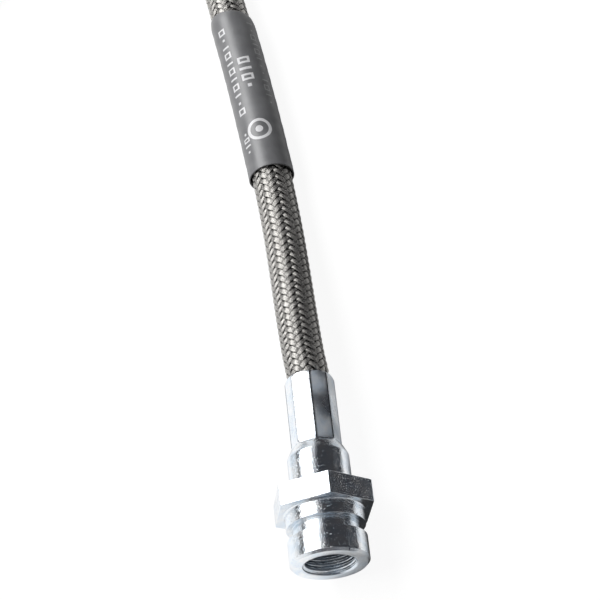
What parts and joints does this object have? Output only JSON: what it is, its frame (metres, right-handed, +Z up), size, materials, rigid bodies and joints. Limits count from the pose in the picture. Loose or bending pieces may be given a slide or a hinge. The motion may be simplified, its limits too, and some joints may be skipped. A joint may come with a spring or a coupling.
{
  "type": "brake hose",
  "caption": "Flexible braided car brake hose with a crimped female hexagon fitting at one end and an eye fitting at the other; carries brake fluid from a pipe to a brake.",
  "frame": {"origin": "centre of the box around the two end fittings, on the surface that the hose lies on", "axes": "+Z up from the surface; both fittings lie along Y with their hose ends towards +Y, so the port opens towards -Y; +X runs from the eye fitting to the chassis fitting"},
  "size_m": [0.1104, 0.1785, 0.017],
  "materials": {
    "zinc_steel": "bright zinc plate, slightly grainy",
    "stem_steel": "turned, plated",
    "liner_rubber": "smooth moulded",
    "stainless_wire": "drawn wire, woven",
    "sleeve_plastic": "satin heat-shrink"
  },
  "bodies": {
    "root": {"chassis_fitting": "zinc_steel", "chassis_stem": "stem_steel", "eye_fitting": "zinc_steel", "eye_stem": "stem_steel", "hose_liner": "liner_rubber", "wire_braid": "stainless_wire", "label_sleeve": "sleeve_plastic"}
  },
  "joints": []
}
